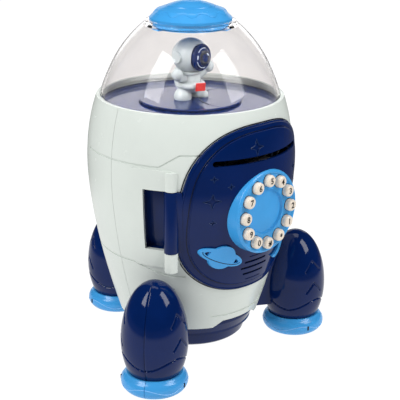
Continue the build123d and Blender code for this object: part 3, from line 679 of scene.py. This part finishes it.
def visor_point(angle, spread, lift=0.0):
    """Point on the helmet's face: an angle round the visor and a distance out from its middle."""
    x = 8.9 * spread * math.cos(angle)
    z = 10.0 * spread * math.sin(angle) - 0.2
    depth = math.sqrt(max(0.0, (HEAD_R + lift) ** 2 - x * x - z * z))
    return (x * MM, AXIS_Y - depth * MM, HEAD.z + z * MM)


def bulge_at(spread):
    """How far the visor's glass stands out at a distance from its middle, of which 1 is the rim."""
    return VISOR_BULGE * math.sqrt(max(0.0, 1 - spread * spread))


def make_visor_glass():
    """Bulging shield, closed behind."""
    form = bmesh.new()
    steps, rings = 96, 20
    grid = []
    for i in range(steps):
        a = math.tau * i / steps
        column = [form.verts.new(visor_point(a, t, 0.2 + bulge_at(t))) for t in between(0.02, 1.0, rings)]
        column.append(form.verts.new(visor_point(a, 1.0, -3.0)))
        grid.append(column)
    for i in range(steps):
        here, there = grid[i], grid[(i + 1) % steps]
        for j in range(rings):
            form.faces.new((here[j], there[j], there[j + 1], here[j + 1]))
    form.faces.new([column[0] for column in grid])
    form.faces.new([column[-1] for column in reversed(grid)])
    bmesh.ops.recalc_face_normals(form, faces=form.faces)
    mesh = mesh_of(form, "visor_glass")
    smooth(mesh, 60)
    glass = link("visor_glass", mesh, MATERIALS["navy"], "turntable")
    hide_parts("astronaut_visor")


def make_visor_details():
    """Thick navy rim, darker pane and painted glints."""
    rim = [visor_point(a, 0.99, 0.5) for a in turn(96)]
    bead("visor_rim", rim, 1.2 * MM, MATERIALS["navy"], "turntable", True)
    pane_out = 16.3
    pane = melted("visor_pane", [(0, -pane_out, HEAD.z / MM - 0.2, 1.0)], 0.2, MATERIALS["visor"], 0)
    stretch = Matrix.Diagonal((5.6, 1.2, 6.6, 1))
    middle = Matrix.Translation((0, AXIS_Y - pane_out * MM, HEAD.z - 0.2 * MM))
    pane.data.transform(middle @ stretch @ middle.inverted())
    for name, start, end, spread, width in (("glint_top", 1.3, 2.5, 0.8, 0.24),
                                            ("glint_left", 2.8, 3.2, 0.76, 0.4),
                                            ("glint_low", 3.45, 5.0, 0.8, 0.26),
                                            ("glint_right", 0.5, 1.1, 0.42, 0.45)):
        arc = [visor_point(a, spread, 0.3 + bulge_at(spread)) for a in between(start, end, 20)]
        bead(name, arc, width * MM, GLINT, "turntable")


def make_ears():
    """Ring and button on each side of the helmet."""
    grey = MATERIALS["figure_grey"]
    for side, label in ((-1, "left"), (1, "right")):
        x = side * 15.3 * MM
        for name, radius, width in (("ear_ring", 4.4, 0.7), ("ear_button", 2.2, 0.6)):
            ring = [(x, AXIS_Y + radius * MM * math.cos(a), HEAD.z + radius * MM * math.sin(a))
                    for a in turn(48)]
            bead(f"{name}_{label}", ring, width * MM, grey, "turntable", True)


# ------------------------------------------------------------ lines on the door, turntable and dial
def on_door(x, z, lift):
    """Point on the door's curved face, lifted off the shell's surface."""
    radius = body_radius(z) + lift
    return (x * MM, AXIS_Y - math.sqrt(radius ** 2 - x ** 2) * MM, z * MM)


def door_outline(inset, lift):
    """Closed chain of points a distance inside the door's outline."""
    points = []
    for a in turn(240):
        c, s = math.cos(a), math.sin(a)
        reach = (abs(c) ** DOOR_POWER + abs(s) ** DOOR_POWER) ** (-1 / DOOR_POWER)
        across, up = (DOOR_HALF_WIDTH - inset) * c * reach, (DOOR_HALF_HEIGHT - inset) * s * reach
        points.append(on_door(across, DOOR_MID_Z + up, lift))
    return points


def make_door_rims():
    """Painted shade in the gap round the door, its rolled rim, and the step with a groove of painted shade
    inside the rim.
    """
    navy = MATERIALS["navy"]
    for name, inset, lift, width, finish, body in (("door_gap", -0.55, 0.15, 0.5, GROOVE_SHADE, "body"),
                                                   ("door_rim", 0.75, 1.2, 0.95, navy, "door"),
                                                   ("door_step", 5.3, 2.15, 0.4, navy, "door"),
                                                   ("door_groove", 4.6, 1.55, 0.28, GROOVE_SHADE, "door")):
        bead(name, door_outline(inset, lift), width * MM, finish, body, True)


# Middle and reach of each four-pointed star.
STARS = ((-10, 194, 6.6), (-46.5, 155, 6.4), (-45.8, 173, 2.8), (-33.5, 166, 2.8), (-45, 137, 2.8),
         (44, 166, 4.4), (50, 152, 2.6))
STAR_WAIST = 0.36


def make_stars():
    """Raised outlines of four-pointed stars on the door, in a lighter navy that paints a highlight on them.
    """
    for index, (x, z, reach) in enumerate(STARS):
        corners = [(reach * (1.0, STAR_WAIST)[i % 2], math.tau * i / 8) for i in range(9)]
        points = []
        for (r0, a0), (r1, a1) in zip(corners, corners[1:]):
            for t in (0.0, 0.25, 0.5, 0.75):
                across = r0 * math.sin(a0) * (1 - t) + r1 * math.sin(a1) * t
                up = r0 * math.cos(a0) * (1 - t) + r1 * math.cos(a1) * t
                points.append(on_door(x + across, z + up, 2.42))
        bead(f"star_{index}", points, 0.2 * MM, STAR_EDGE_HIGHLIGHT, "door", True)


def make_planet_line():
    """Line of painted shade where the planet's ring passes in front of it."""
    middle_x, middle_z, half_length, half_height = -35, 106, 16.2, 4.3
    tilt = math.radians(-24)
    ring = []
    for a in between(math.pi * 0.98, math.pi * 2.02, 40):
        x, z = half_length * math.cos(a), half_height * math.sin(a)
        across = middle_x + x * math.cos(tilt) - z * math.sin(tilt)
        up = middle_z + x * math.sin(tilt) + z * math.cos(tilt)
        ring.append(on_door(across, up, 4.25))
    bead("planet_line", ring, 0.28 * MM, GROOVE_SHADE, "door")


def make_turntable_lines():
    """Curved line of painted shade across the turntable, and its rounded edge."""
    middle_x, middle_y, radius = 34, -31, 39.6
    arc = []
    for a in between(math.radians(95), math.radians(175), 40):
        x, y = middle_x + radius * math.cos(a), middle_y + radius * math.sin(a)
        arc.append((x * MM, AXIS_Y + y * MM, SOLE_Z * MM))
    bead("turntable_line", arc, 0.42 * MM, GROOVE_SHADE, "turntable")
    edge = level_ring(TURNTABLE_R, TURNTABLE_R, TURNTABLE_EDGE_Z, 160)
    bead("turntable_edge", edge, 0.95 * MM, MATERIALS["navy"], "turntable", True)


def make_key_gaps():
    """Ring of painted shade round each key, in the gap between key and dial."""
    radius = 5.0 * MM
    y = AXIS_Y - KEY_FACE_OUT * MM
    for key in KEYS:
        low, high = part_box(f"key_{key}")
        x, z = (low[0] + high[0]) / 2, (low[2] + high[2]) / 2
        ring = [(x + radius * math.cos(a), y, z + radius * math.sin(a)) for a in turn(48)]
        bead(f"key_gap_{key}", ring, 0.3 * MM, GROOVE_SHADE, "door", True)


make_digits()
make_legs()
make_cap_relief()
make_suit()
make_arms()
make_backpack()
make_suit_rings()
make_visor_glass()
make_visor_details()
make_ears()
make_patch()
make_door_rims()
make_stars()
make_planet_line()
make_turntable_lines()
make_key_gaps()
